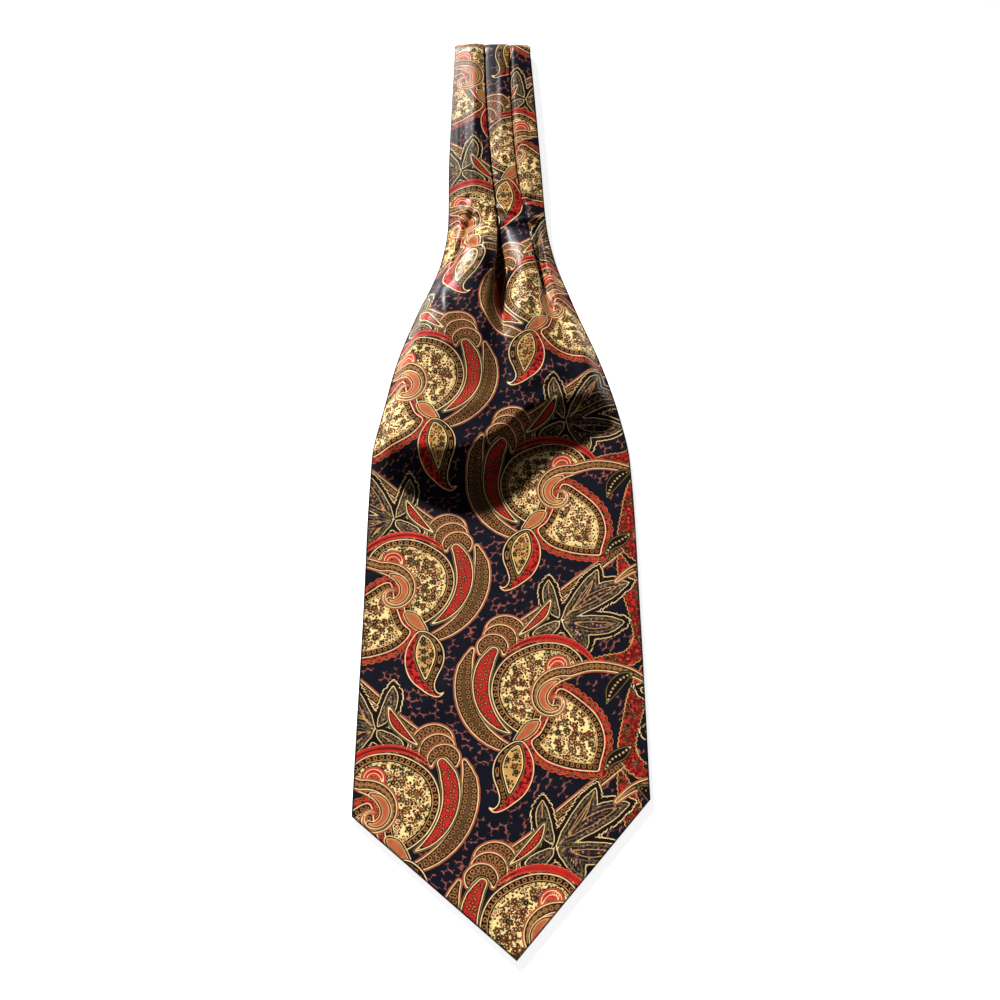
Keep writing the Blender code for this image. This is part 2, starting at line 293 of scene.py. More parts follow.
palmette = {"u": 17, "v": 64, "start": 0.0, "lobes": [  # direction, reach, half width, and how much it bends
    (104, 29, 6.6, 3), (58, 41, 8.0, -3), (30, 49, 9.0, 3), (0, 39, 8.6, -3), (-52, 25, 7.0, 3), (206, 20, 6.4, 2)]}
outlines = {  # a few places round each closed shape
    "body": [(0, 3), (-11, 11), (-15.5, 25), (-10, 38), (5, 46), (19, 45), (25.5, 37), (15, 31.5), (6, 25), (4, 12)],
    "heart": [(3, -6), (10, -15), (23, -20), (36, -21.5), (39, -21), (39.5, -18), (42, -5), (38, 8), (28, 18),
              (17, 24), (13, 12), (8, 0)],
}
motifBox = (-50.0, 74.0, -50.0, 122.0)
farAway = 8.0


def smoothLine(points, closed=False, pieces=8):
    # a smooth line through a few places
    points = np.array(points, float)
    count = len(points)
    line = []
    for i in range(count if closed else count - 1):
        if closed:
            a, b, c, d = (points[(i + k) % count] for k in (-1, 0, 1, 2))
        else:
            a, b, c, d = points[max(i - 1, 0)], points[i], points[i + 1], points[min(i + 2, count - 1)]
        for step in range(pieces):
            t = step / pieces
            line.append(0.5 * (2 * b + (c - a) * t + (2 * a - 5 * b + 4 * c - d) * t * t
                               + (3 * b - a - 3 * c + d) * t ** 3))
    line.append(points[0] if closed else points[-1])
    return np.array(line)


def spiralLine(u, v, radiusFrom, radiusTo, turnFrom, turnTo, halfWidths, lead=()):
    count = max(int(abs(turnTo - turnFrom) / 7), 8)
    share = np.linspace(0, 1, count + 1)
    turn = np.radians(turnFrom + (turnTo - turnFrom) * share)
    radius = radiusFrom * (radiusTo / radiusFrom) ** share
    line = np.stack([u + radius * np.cos(turn), v + radius * np.sin(turn)], 1)
    if lead:
        line = np.concatenate([smoothLine([*lead, line[0]])[:-1], line])
    length = np.concatenate([[0], np.cumsum(np.hypot(*np.diff(line, axis=0).T))])
    width = np.interp(length / length[-1], np.linspace(0, 1, len(halfWidths)), halfWidths)
    return np.concatenate([line, width[:, None]], 1)


def lobeLine(direction, reach, halfWidth, bend):
    # one pointed lobe of the palmette, fullest a little past its middle
    share = np.linspace(0, 1, 15)
    turn = math.radians(direction)
    along, aside = palmette["start"] + share * (reach - palmette["start"]), bend * np.sin(math.pi * share)
    width = halfWidth * np.interp(share, [0, 0.2, 0.45, 0.68, 0.86, 1], [0.3, 0.8, 1, 0.9, 0.5, 0.02])
    return np.stack([palmette["u"] + along * math.cos(turn) - aside * math.sin(turn),
                     palmette["v"] + along * math.sin(turn) + aside * math.cos(turn), width], 1)


def motifLines():
    # every stroke and outline of the motif, by kind
    lines = {}
    for kind, *numbers in curlRows:
        lines.setdefault(kind, []).append(spiralLine(*numbers))
    for kind, points in brushRows:
        lines.setdefault(kind, []).append(smoothLine(points))
    lines["ribbon"] = [spiralLine(**volute)]
    lines["lobe"] = [lobeLine(*lobe) for lobe in palmette["lobes"]]
    for kind, points in outlines.items():
        lines[kind] = [smoothLine(points, True)]
    return lines


def distanceTo(line, u, v):
    # distance past the edge of a stroke, run along it, half width there and distance to its left
    best = np.full(len(u), 1e9)
    run, width, side = np.zeros(len(u)), np.zeros(len(u)), np.zeros(len(u))
    start = 0.0
    for a, b in zip(line, line[1:]):
        du, dv = b[0] - a[0], b[1] - a[1]
        length = math.hypot(du, dv)
        if length < 1e-9:
            continue
        share = np.clip(((u - a[0]) * du + (v - a[1]) * dv) / length ** 2, 0, 1)
        away = np.sqrt((u - a[0] - share * du) ** 2 + (v - a[1] - share * dv) ** 2)
        wide = a[2] + (b[2] - a[2]) * share if len(a) > 2 else 0.0
        near = away - wide < best
        best = np.where(near, away - wide, best)
        run = np.where(near, start + share * length, run)
        width = np.where(near, wide, width)
        side = np.where(near, (du * (v - a[1]) - dv * (u - a[0])) / length, side)
        start += length
    return best, run, width, side


def insideOf(line, u, v):
    # which places lie inside a closed outline
    inside = np.zeros(len(u), bool)
    for a, b in zip(line, line[1:]):
        if a[1] != b[1]:
            crosses = (a[1] > v) != (b[1] > v)
            inside ^= crosses & (u < (b[0] - a[0]) * (v - a[1]) / (b[1] - a[1]) + a[0])
    return inside


def motifPlaces(s, t):
    # each place of the cloth in the frame of every motif that reaches it
    index, us, vs = [], [], []
    low, high, bottom, top = motifBox
    columns = ((False, 0.0, 0.0), (True, repeat["mirrorX"], 0.5), (True, repeat["farX"], 0.5))
    for mirrored, columnX, lift in columns:
        for k in range(-2, 7):
            v = t - (repeat["firstBead"] + (lift + k) * repeat["up"])
            u = s - (repeat["beadX"] + columnX + repeat["lean"] * (t - repeat["leanFrom"]))
            u = -u if mirrored else u
            reach = np.nonzero((u > low) & (u < high) & (v > bottom) & (v < top))[0]
            index.append(reach)
            us.append(u[reach])
            vs.append(v[reach])
    return np.concatenate(index), np.concatenate(us), np.concatenate(vs)


motif = motifLines()


def printFields(s, t):
    # for each kind of shape: distance past its edge, run along it, half width (the side, for a drop)
    index, u, v = motifPlaces(s, t)
    fields = {}
    for kind, lines in motif.items():
        total = np.tile((farAway, 0.0, 1.0), (len(u), 1))
        for line in lines:
            pad = farAway + (line[:, 2].max() if line.shape[1] > 2 else 0)
            spot = np.nonzero((u > line[:, 0].min() - pad) & (u < line[:, 0].max() + pad)
                              & (v > line[:, 1].min() - pad) & (v < line[:, 1].max() + pad))[0]
            distance, run, width, side = distanceTo(line, u[spot], v[spot])
            if kind == "drop":
                width = side
            if kind in outlines:
                distance = np.where(insideOf(line, u[spot], v[spot]), -distance, distance)
            better = distance < total[spot, 0]
            total[spot[better]] = np.stack([distance, run, width], 1)[better]
        field = np.tile((farAway, 0.0, 1.0), (len(s), 1))
        for row in np.argsort(-total[:, 0], kind="stable"):
            field[index[row]] = total[row]
        fields[kind] = field
    return fields


sprig = {
    "spacing": 7.6, "scatter": 0.28, "clear": 1.1, "seed": 11, "halfWidth": 0.34, "arm": 2.3, "fork": 1.5,
    "armTurns": (90, 215, 325), "forkTurn": 48, "reach": 5.4, "wide": 176, "long": 640,
    "fringe": {"heart": 5.0, "body": 4.6},  # how far the fringes of these two stand out
}


def sprigField(s, t):
    # small branching sprigs, scattered where the ground is bare
    random = np.random.default_rng(sprig["seed"])
    spacing, scatter, reach = sprig["spacing"], sprig["scatter"], sprig["reach"]
    acrossCount, upCount = int(sprig["wide"] / spacing), int(sprig["long"] / spacing)
    gridS, gridT = np.meshgrid(np.arange(acrossCount + 1), np.arange(upCount + 1))
    centreS = (-sprig["wide"] / 2 + (gridS + random.uniform(-scatter, scatter, gridS.shape)) * spacing).ravel()
    centreT = ((gridT + 0.5 * (gridS % 2) + random.uniform(-scatter, scatter, gridS.shape)) * spacing).ravel()
    turnOf = random.uniform(0, 2 * math.pi, gridS.shape).ravel()
    clear = np.full(len(centreS), farAway)
    for name, field in printFields(centreS, centreT).items():
        clear = np.minimum(clear, field[:, 0] - sprig["fringe"].get(name, 0.0))
    arms = []
    for turn in sprig["armTurns"]:
        cos, sin = math.cos(math.radians(turn)), math.sin(math.radians(turn))
        tip = (sprig["arm"] * cos, sprig["arm"] * sin)
        arms.append(((0, 0), tip))
        for side in (-sprig["forkTurn"], sprig["forkTurn"]):
            fork = math.radians(turn + side)
            arms.append((tip, (tip[0] + sprig["fork"] * math.cos(fork), tip[1] + sprig["fork"] * math.sin(fork))))
    distance = np.full(len(s), farAway)
    for centre in np.nonzero(clear > sprig["clear"])[0]:
        spot = np.nonzero((abs(s - centreS[centre]) < reach) & (abs(t - centreT[centre]) < reach))[0]
        cos, sin = math.cos(turnOf[centre]), math.sin(turnOf[centre])
        du, dv = s[spot] - centreS[centre], t[spot] - centreT[centre]
        u, v = du * cos + dv * sin, dv * cos - du * sin
        for a, b in arms:
            line = np.array([(*a, sprig["halfWidth"]), (*b, sprig["halfWidth"])])
            distance[spot] = np.minimum(distance[spot], distanceTo(line, u, v)[0])
    return distance


class Value:
    # a socket that adds, multiplies and compares like a number
    def __init__(self, tree, socket):
        self.tree, self.socket = tree, socket

    def math(self, operation, *others):
        node = self.tree.nodes.new("ShaderNodeMath")
        node.operation = operation
        for place, value in enumerate((self, *others)):
            if isinstance(value, Value):
                self.tree.links.new(value.socket, node.inputs[place])
            else:
                node.inputs[place].default_value = value
        return Value(self.tree, node.outputs[0])

    def __add__(self, other): return self.math("ADD", other)
    def __radd__(self, other): return self.math("ADD", other)
    def __mul__(self, other): return self.math("MULTIPLY", other)
    def __rmul__(self, other): return self.math("MULTIPLY", other)
    def __sub__(self, other): return self.math("SUBTRACT", other)
    def __rsub__(self, other): return (self * -1).math("ADD", other)
    def __truediv__(self, other): return self.math("DIVIDE", other)
    def __abs__(self): return self.math("ABSOLUTE")


class Shader:
    # one material's nodes
    def __init__(self, name):
        self.material = bpy.data.materials.new(name)
        self.material.use_nodes = True
        self.tree = self.material.node_tree
        self.surface = self.tree.nodes["Principled BSDF"]

    def fill(self, node, sockets):
        for name, value in sockets.items():
            if isinstance(value, Value):
                self.tree.links.new(value.socket, node.inputs[name])
            else:
                node.inputs[name].default_value = value

    def node(self, kind, settings=None, sockets=None, out=0):
        made = self.tree.nodes.new(kind)
        for name, value in (settings or {}).items():
            setattr(made, name, value)
        self.fill(made, sockets or {})
        return Value(self.tree, made.outputs[out])

    def outputs(self, value, *names):
        return [Value(self.tree, value.socket.node.outputs[name]) for name in names]

    def split(self, value):
        return self.outputs(self.node("ShaderNodeSeparateXYZ", None, {"Vector": value}), "X", "Y", "Z")

    def field(self, name):
        source = self.node("ShaderNodeAttribute", {"attribute_name": name}, None, "Vector")
        return self.split(source)

    def below(self, value, edge, soft=0.17):
        # 1 where value is under edge, with a soft change
        return self.node("ShaderNodeMapRange", {"interpolation_type": "SMOOTHSTEP"}, {
            "Value": value, "From Min": edge - soft, "From Max": edge + soft, "To Min": 1.0, "To Max": 0.0})

    def line(self, value, at, width=0.6, soft=0.17):
        return self.below(abs(value - at), width / 2, soft)

    def mix(self, under, over, share, blend="MIX"):
        under, over = ((*c, 1) if isinstance(c, tuple) else c for c in (under, over))
        settings = {"data_type": "RGBA", "blend_type": blend}
        return self.node("ShaderNodeMix", settings, {0: share, 6: under, 7: over}, 2)


def dyed(red, green, blue):
    # a dye as a colour picker gives it, made linear
    return tuple(c / 255 / 12.92 if c <= 10 else ((c / 255 + 0.055) / 1.055) ** 2.4 for c in (red, green, blue))


dye = {
    "night": dyed(11, 12, 19),
    "navy": dyed(25, 27, 38),
    "cream": dyed(247, 213, 144),
    "pale": dyed(242, 210, 152),
    "gold": dyed(204, 156, 90),
    "tan": dyed(162, 110, 64),
    "brown": dyed(74, 48, 29),
    "umber": dyed(26, 15, 11),
    "red": dyed(186, 42, 36),
    "wine": dyed(84, 18, 20),
    "coral": dyed(188, 92, 62),
    "rust": dyed(146, 84, 72),
    "olive": dyed(118, 104, 58),
    "aubergine": dyed(38, 26, 34),
    "mauve": dyed(172, 120, 116),
}


class Silk(Shader):
    # the printed cloth, painted shape by shape
    def __init__(self, name):
        super().__init__(name)
        self.uv = self.node("ShaderNodeUVMap", {"uv_map": "Cloth"})
        self.grain = self.noise(2.6)
        self.mottle = self.noise(0.45)
        self.patch = self.noise(0.17)
        self.blooms = self.bloomAt(4.6, 0.75)
        self.posies = self.bloomAt(2.9, 0.9)
        self.buds = self.bloomAt(2.3, 1.0)

    def noise(self, scale):
        return self.node("ShaderNodeTexNoise", {"noise_dimensions": "2D"}, {
            "Vector": self.uv, "Scale": scale, "Detail": 2.0, "Roughness": 0.5})

    def bloomAt(self, cell, scatter):
        # distance and direction from the nearest flower's middle, and a number of its own
        cells = self.node("ShaderNodeTexVoronoi", {"voronoi_dimensions": "2D"}, {
            "Vector": self.uv, "Scale": 1 / cell, "Randomness": scatter})
        place, colour = self.outputs(cells, "Position", "Color")
        away = self.node("ShaderNodeVectorMath", {"operation": "SUBTRACT"}, {0: self.uv, 1: place})
        du, dv, _ = self.split(away)
        return (du * du + dv * dv).math("SQRT"), dv.math("ARCTAN2", du), self.split(colour)[0]

    def lines(self, painted, distance, marks):
        for at, width, colour in marks:
            painted = self.mix(painted, dye[colour], self.line(distance, at, width))
        return painted

    def beads(self, painted, across, run, radius, pitch, share, ring="gold", pit="umber"):
        cell = ((run / pitch).math("FRACT") - 0.5) * pitch
        away = (cell * cell + across * across).math("SQRT")
        painted = self.mix(painted, dye[ring], self.below(away, radius) * share)
        return self.mix(painted, dye[pit], self.below(away, radius * 0.56) * share)

    def band(self, painted, distance, run, pitch=3.0):
        # beads between fine lines
        inside = self.below(distance, 0.0)
        painted = self.mix(painted, dye["umber"], self.below(distance, 0.6))
        painted = self.mix(painted, dye["brown"], inside)
        painted = self.beads(painted, distance + 2.6, run, 1.08, pitch, inside, "tan")
        painted = self.beads(painted, distance + 4.6, run + 0.7, 0.5, pitch / 2, inside, "olive")
        return self.lines(painted, distance, ((-1.15, 0.35, "umber"), (-0.5, 0.5, "pale"), (0.3, 0.5, "coral")))

    def bouquet(self, painted, share):
        # small blossoms crowding over the flowers
        away, turn, chance = self.posies
        lobes = abs((turn * 3 + chance * 7).math("SINE"))
        painted = self.mix(painted, dye["brown"], self.below(away, lobes * 0.6 + 1.0) * share)
        painted = self.mix(painted, dye["tan"], self.below(away, 0.62) * self.below(chance, 0.55, 0.02) * share)
        painted = self.mix(painted, dye["red"], self.below(away, 0.5) * self.below(0.6, chance, 0.02) * share)
        return self.mix(painted, dye["cream"], self.below(away, 0.2, 0.1) * share)

    def flowers(self, painted, share, ground="cream", petal="umber", heart="red"):
        # a field of small flowers, with buds between them
        away, _, chance = self.buds
        painted = self.mix(painted, dye[ground], share)
        painted = self.mix(painted, dye["brown"], self.below(away, 0.68, 0.16) * self.below(chance, 0.75, 0.02) * share)
        away, turn, chance = self.blooms
        lobes = abs((turn * 2.5 + chance * 9).math("SINE"))
        painted = self.mix(painted, dye[petal], self.below(away, lobes * 0.95 + 1.3) * share)
        painted = self.mix(painted, dye[ground], self.line(away, 1.1, 0.5) * self.below(chance, 0.5, 0.02) * share)
        painted = self.mix(painted, dye["olive"], self.line(away, 1.5, 0.45) * self.below(0.5, chance, 0.02) * share)
        painted = self.mix(painted, dye[heart], self.below(away, 0.66) * self.below(chance, 0.72, 0.02) * share)
        return self.mix(painted, dye[ground], self.below(away, 0.24, 0.1) * share)


def printedSilk(name):
    m = Silk(name)
    painted = m.mix(dye["navy"], dye["night"], m.below(m.grain, 0.5, 0.16))

    # the sprig field also carries each place's distance from the outer edge, which sets the painted edge shade further
    # down
    sprigAway, edgeAway, _ = m.field("sprig")
    painted = m.mix(painted, dye["rust"], m.below(sprigAway, 0.0))

    distance, run, _ = m.field("band")
    painted = m.band(painted, distance, run)

    distance, run, _ = m.field("red")
    scallop = abs((run * (math.pi / 2.7)).math("SINE")) * 0.7
    edge = distance - scallop
    inside = m.below(edge, 0.0)
    painted = m.flowers(painted, inside, "red", "umber", "tan")
    painted = m.mix(painted, dye["wine"], inside * m.below(m.mottle, 0.5, 0.06) * 0.8)
    painted = m.lines(painted, edge, ((-0.1, 0.45, "gold"), (0.7, 0.4, "umber")))

    distance, run, half = m.field("lobe")
    tooth = (run / 2.6).math("FRACT")
    edge = distance + tooth * 0.9 - 0.4
    inside = m.below(edge, 0.0)
    deep = m.below(distance, -3.6)
    centre = distance + half
    painted = m.mix(painted, dye["umber"], m.below(edge, 0.9))
    painted = m.mix(painted, dye["aubergine"], m.below(distance, -2.6))
    rib = abs(((run - centre * 1.2) / 6.4).math("FRACT") - 0.5)
    painted = m.mix(painted, dye["olive"], m.below(rib, 0.04, 0.03) * deep * 0.7)
    away, turn, chance = m.posies
    painted = m.mix(painted, dye["mauve"], m.below(away, abs((turn * 2).math("SINE")) * 0.5 + 0.2)
                    * m.below(chance, 0.6, 0.02) * deep)
    painted = m.beads(painted, distance + 3.6, run, 0.45, 2.1, inside, "olive")
    painted = m.lines(painted, distance, ((-2.7, 0.4, "pale"), (-4.5, 0.35, "olive"), (-6.4, 0.35, "gold")))
    painted = m.mix(painted, dye["gold"], m.below(centre, 0.26) * deep)
    painted = m.lines(painted, edge, ((0.0, 0.5, "pale"),))

    heartAway, heartRun, _ = m.field("heart")
    scallop = abs((heartRun * (math.pi / 4.0)).math("SINE")) * 0.9
    fringe = heartAway - scallop - 3.6
    inside = m.below(fringe, 0.0)
    painted = m.mix(painted, dye["wine"], inside)
    painted = m.mix(painted, dye["red"], m.below(m.mottle, 0.5, 0.05) * inside)
    painted = m.beads(painted, heartAway - 2.4, heartRun, 0.72, 2.0, inside, "tan", "umber")
    painted = m.lines(painted, fringe, ((-0.1, 0.4, "coral"), (0.6, 0.4, "umber")))

    for kind in ("plumeTop", "plumeMiddle", "plumeFront"):
        distance, run, _ = m.field(kind)
        painted = m.band(painted, distance, run, 2.8)

    distance, run, _ = m.field("lens")
    inside = m.below(distance, 0.0)
    scallop = abs((run * (math.pi / 1.9)).math("SINE")) * 0.5
    painted = m.mix(painted, dye["umber"], m.below(distance, 0.8))
    painted = m.mix(painted, dye["red"], m.below(distance + scallop, -0.8))
    away, _, _ = m.buds
    painted = m.mix(painted, dye["umber"], m.below(away, 0.9, 0.14) * m.below(distance, -1.4))
    painted = m.mix(painted, dye["tan"], m.below(away, 0.5, 0.12) * m.below(distance, -1.4))
    painted = m.lines(painted, distance, ((-0.2, 0.5, "pale"), (0.7, 0.4, "olive"), (1.3, 0.3, "umber")))

    distance, run, half = m.field("arch")
    edge = distance - abs((run * (math.pi / 2.4)).math("SINE")) * 0.5
    painted = m.mix(painted, dye["red"], m.below(edge, 0.0))
    painted = m.mix(painted, dye["wine"], m.below(distance + half, 0.5))
    painted = m.lines(painted, edge, ((-0.15, 0.4, "coral"), (0.55, 0.35, "umber")))

    bodyAway, bodyRun, _ = m.field("body")
    ring = m.below(abs(bodyAway - 2.2), 2.3)
    painted = m.mix(painted, dye["umber"], ring)
    painted = m.beads(painted, bodyAway - 2.2, bodyRun, 1.12, 3.3, ring, "tan")
    inner = m.below(bodyAway, 0.0)
    painted = m.flowers(painted, inner)
    painted = m.bouquet(painted, m.below(bodyAway, -3.4, 0.5) * m.below(m.patch, 0.54, 0.05))
    painted = m.beads(painted, bodyAway + 1.2, bodyRun, 0.55, 1.8, inner, "olive", "cream")
    painted = m.lines(painted, bodyAway, ((0.0, 0.5, "umber"), (0.7, 0.35, "gold"), (4.1, 0.55, "pale"),
                                          (4.9, 0.35, "brown")))
    distance, _, _ = m.field("curl")
    painted = m.mix(painted, dye["umber"], m.below(distance, 1.4))
    painted = m.mix(painted, dye["red"], m.below(distance, 0.6))
    painted = m.lines(painted, distance, ((0.75, 0.4, "coral"), (-0.3, 0.4, "pale")))

    inside = m.below(heartAway, 0.0)
    painted = m.mix(painted, dye["umber"], inside)
    painted = m.beads(painted, heartAway + 2.3, heartRun, 1.08, 3.2, inside, "tan")
    inner = m.below(heartAway, -4.2)
    painted = m.flowers(painted, inner)
    painted = m.bouquet(painted, m.below(heartAway, -7.2, 0.5) * m.below(m.patch, 0.52, 0.05))
    painted = m.beads(painted, heartAway + 5.2, heartRun, 0.5, 1.9, inner, "olive", "cream")
    painted = m.lines(painted, heartAway, ((0.0, 0.55, "pale"), (-0.8, 0.3, "brown"), (-3.9, 0.45, "gold")))

    distance, run, half = m.field("ribbon")
    painted = m.band(painted, distance, run, 3.2)
    painted = m.mix(painted, dye["tan"], m.below(distance + half, 0.5))

    distance, _, half = m.field("core")
    painted = m.mix(painted, dye["tan"], m.below(distance, 0.0))
    painted = m.mix(painted, dye["coral"], m.below(distance + half, 1.1, 0.5))
    painted = m.lines(painted, distance, ((0.2, 0.45, "umber"), (-0.4, 0.4, "gold"), (0.85, 0.35, "pale")))

    distance, run, half = m.field("pod")
    painted = m.mix(painted, dye["umber"], m.below(distance, 0.4))
    painted = m.beads(painted, distance + half, run, 0.55, 2.2, m.below(distance, 0.0), "pale")
    painted = m.lines(painted, distance, ((-0.4, 0.4, "olive"),))

    distance, run, side = m.field("drop")
    inside = m.below(distance, 0.0)
    painted = m.mix(painted, dye["umber"], m.below(distance, 0.7))
    red = inside * m.below(0.0, side, 0.3)
    painted = m.beads(painted, distance + 2.3, run, 1.0, 2.9, inside, "tan")
    painted = m.beads(painted, distance + 4.6, run, 0.5, 1.7, inside, "olive")
    painted = m.mix(painted, dye["wine"], red)
    painted = m.mix(painted, dye["red"], red * m.below(m.mottle, 0.52, 0.05))
    painted = m.lines(painted, distance, ((-0.15, 0.5, "pale"),))

    distance, _, _ = m.field("leaf")
    painted = m.mix(painted, dye["umber"], m.below(distance, 1.5))
    painted = m.flowers(painted, m.below(distance, 0.0), "gold")
    painted = m.lines(painted, distance, ((0.1, 0.45, "cream"), (1.3, 0.45, "olive")))

    painted = m.mix(painted, dyed(205, 203, 210), m.below(m.patch, 0.5, 0.25) * 0.5, "MULTIPLY")
    # painted shade: the colour turns near black within about a millimetre of the outer edge, for the shade where the
    # cloth turns under
    painted = m.mix(painted, dye["night"], m.below(edgeAway, 0.9, 0.6) * 0.9)
    weave = m.node("ShaderNodeTexWave", {"wave_type": "BANDS", "bands_direction": "DIAGONAL"}, {
        "Vector": m.uv, "Scale": 0.7, "Distortion": 0.6})
    normal = m.node("ShaderNodeBump", None, {"Height": weave, "Strength": 0.22, "Distance": 0.00008})
    m.fill(m.surface, {"Base Color": painted, "Normal": normal, "Roughness": m.grain * 0.12 + 0.28,
                       "Specular IOR Level": 0.06})
    return m.material


def clothGrid(name, across, along, places, flat, edgeAway, wrapped=False):
    # a fine sheet: each corner's place, where it is in the cut, and how far it is from the outer edge
    mesh = bmesh.new()
    bmesh.ops.create_grid(mesh, x_segments=across, y_segments=along, size=0.5)
    column = [round((corner.co.x + 0.5) * across) for corner in mesh.verts]
    row = [round((corner.co.y + 0.5) * along) for corner in mesh.verts]
    placed = np.asarray(places)[row, column] * mm
    inCut = np.asarray(flat)[row, column]
    for corner, place in zip(mesh.verts, placed):
        corner.co = place
    cut = mesh.loops.layers.uv.new("Cloth")
    for face in mesh.faces:
        for loop in face.loops:
            loop[cut].uv = inCut[loop.vert.index]
    layers = {kind: mesh.verts.layers.float_vector.new(kind) for kind in (*motif, "sprig")}
    fields = printFields(inCut[:, 0], inCut[:, 1])
    # the distance from the outer edge goes in with the sprigs, for the painted edge shade
    rimAway = np.asarray(edgeAway)[row, column]
    fields["sprig"] = np.stack([sprigField(inCut[:, 0], inCut[:, 1]), rimAway, rimAway], 1)
    for kind, layer in layers.items():
        for corner, values in zip(mesh.verts, fields[kind]):
            corner[layer] = values
    if wrapped:
        bmesh.ops.remove_doubles(mesh, verts=mesh.verts, dist=1e-6)
    else:
        # both faces of the cloth, half a wall either side of the places given
        mesh.normal_update()
        number = mesh.verts.layers.int.new("number")
        offsets = []
        for corner in mesh.verts:
            corner[number] = corner.index
            offsets.append(corner.normal * cloth["wall"] / 2 * mm)
        under = set(mesh.verts)
        bmesh.ops.extrude_face_region(mesh, geom=list(mesh.faces), use_keep_orig=True)
        for corner in mesh.verts:
            corner.co += offsets[corner[number]] * (-1 if corner in under else 1)
    bmesh.ops.recalc_face_normals(mesh, faces=mesh.faces)
    for edge in mesh.edges:
        edge.smooth = len(edge.link_faces) == 2 and edge.calc_face_angle() < 1.0
    for face in mesh.faces:
        face.smooth = True
    data = bpy.data.meshes.new(name)
    mesh.to_mesh(data)
    mesh.free()
    piece = bpy.data.objects.new(name, data)
    bpy.context.scene.collection.objects.link(piece)
    return piece


silk = printedSilk("printedSilk")
halfLength = cloth["length"] / 2
print("silk printed")


def frontBlade():
    # the flat pointed end, its rows running up from the point's edges
    step = cloth["step"]
    left, right = foldRows[0][1], foldRows[0][4]
    leftFaces, rightFaces = round((cloth["pointX"] - left) / step), round((right - cloth["pointX"]) / step)
    x = np.concatenate([np.linspace(left, cloth["pointX"], leftFaces + 1),
                        np.linspace(cloth["pointX"], right, rightFaces + 1)[1:]])
    rows = round(cloth["bladeEnd"] / step)
    share = np.linspace(0, 1, rows + 1)[:, None]
    at = pointEdge(x)[None] * (1 - share) + cloth["bladeEnd"] * share
    across = (x - left) / (right - left)
    rowLeft, rowRight = readFold("left", at), readFold("right", at)
    placeX = rowLeft + (rowRight - rowLeft) * across[None]
    rest = restHeight(at)
    sideAway, pointAway = np.minimum(placeX - rowLeft, rowRight - placeX), at - pointEdge(x)[None]
    inside = smoothStep(np.minimum(sideAway, pointAway) / cloth["creaseFade"])
    z = np.maximum(rest + swagLift(placeX, at) + creaseLift(placeX, at) * inside, rest)
    flatX = (across[None] - 0.5) * (right - left) + 0 * at
    edgeAway = np.minimum(sideAway, pointAway * 0.72)  # less than straight up, as the point's edges slope
    return clothGrid("frontBladeSilk", len(x) - 1, rows, np.stack([placeX, at - halfLength, z], -1),
                     np.stack([flatX, at], -1), edgeAway)


def pleatedStretch(name, start, end, stripFaces):
    # the front from one row to another, folded into three strips by two pleats
    plan = acrossPlan(stripFaces)
    rows = round((end - start) / cloth["step"])
    places, flat, edgeAway = [], [], []
    for at in np.linspace(start, end, rows + 1):
        x, z, run = section(at, plan)
        places.append(np.stack([x, np.full(len(x), at - halfLength), z], 1))
        flat.append(np.stack([run - cloth["width"] / 2, np.full(len(x), at)], 1))
        edgeAway.append(np.minimum(x - x[0], x[-1] - x))
    return clothGrid(name, len(places[0]) - 1, rows, places, flat, edgeAway)


frontFaces = {"throat": (50, 42, 46), "neck": (24, 24, 24)}  # faces across each of the three strips
turnOver = {"axis": 4.4, "rows": 22, "cloth": 30.0, "tuck": 0.45, "corner": 1.3, "cornerWide": 2.5}


def neckFold():
    # the neck's end goes over and under, the layers inside it a little shorter
    plan = acrossPlan(frontFaces["neck"])
    x, z, run = section(cloth["neckEnd"], plan)
    axis, rows = turnOver["axis"], turnOver["rows"]
    envelope = np.array([z[abs(x - place) < 1.2].max() for place in x])
    radius, outer = z - axis, envelope - axis
    reach = cloth["length"] - cloth["neckEnd"] - cloth["wall"] / 2
    corner = turnOver["corner"] * (1 - smoothStep(np.minimum(x - x[0], x[-1] - x) / turnOver["cornerWide"]))
    places, flat = [], []
    for turn in np.linspace(0, math.pi, rows + 1):
        squash = 1.0 if turn < math.pi / 2 else (axis - cloth["wall"] / 2) / outer
        height = axis + radius * math.cos(turn) * squash
        out = np.maximum(reach - turnOver["tuck"] * (outer - radius) - corner, 0.5) * math.sin(turn)
        places.append(np.stack([x, cloth["neckEnd"] - halfLength + out, height], 1))
        at = cloth["neckEnd"] + turn / math.pi * turnOver["cloth"]
        flat.append(np.stack([run - cloth["width"] / 2, np.full(len(x), at)], 1))
    edgeAway = [np.minimum(x - x[0], x[-1] - x)] * (rows + 1)
    return clothGrid("neckFoldSilk", len(x) - 1, rows, places, flat, edgeAway)


rearFold = {"inset": 1.2, "pointInset": 1.4, "step": 1.7, "sideFaces": 12, "bulge": 0.45, "layers": 3}


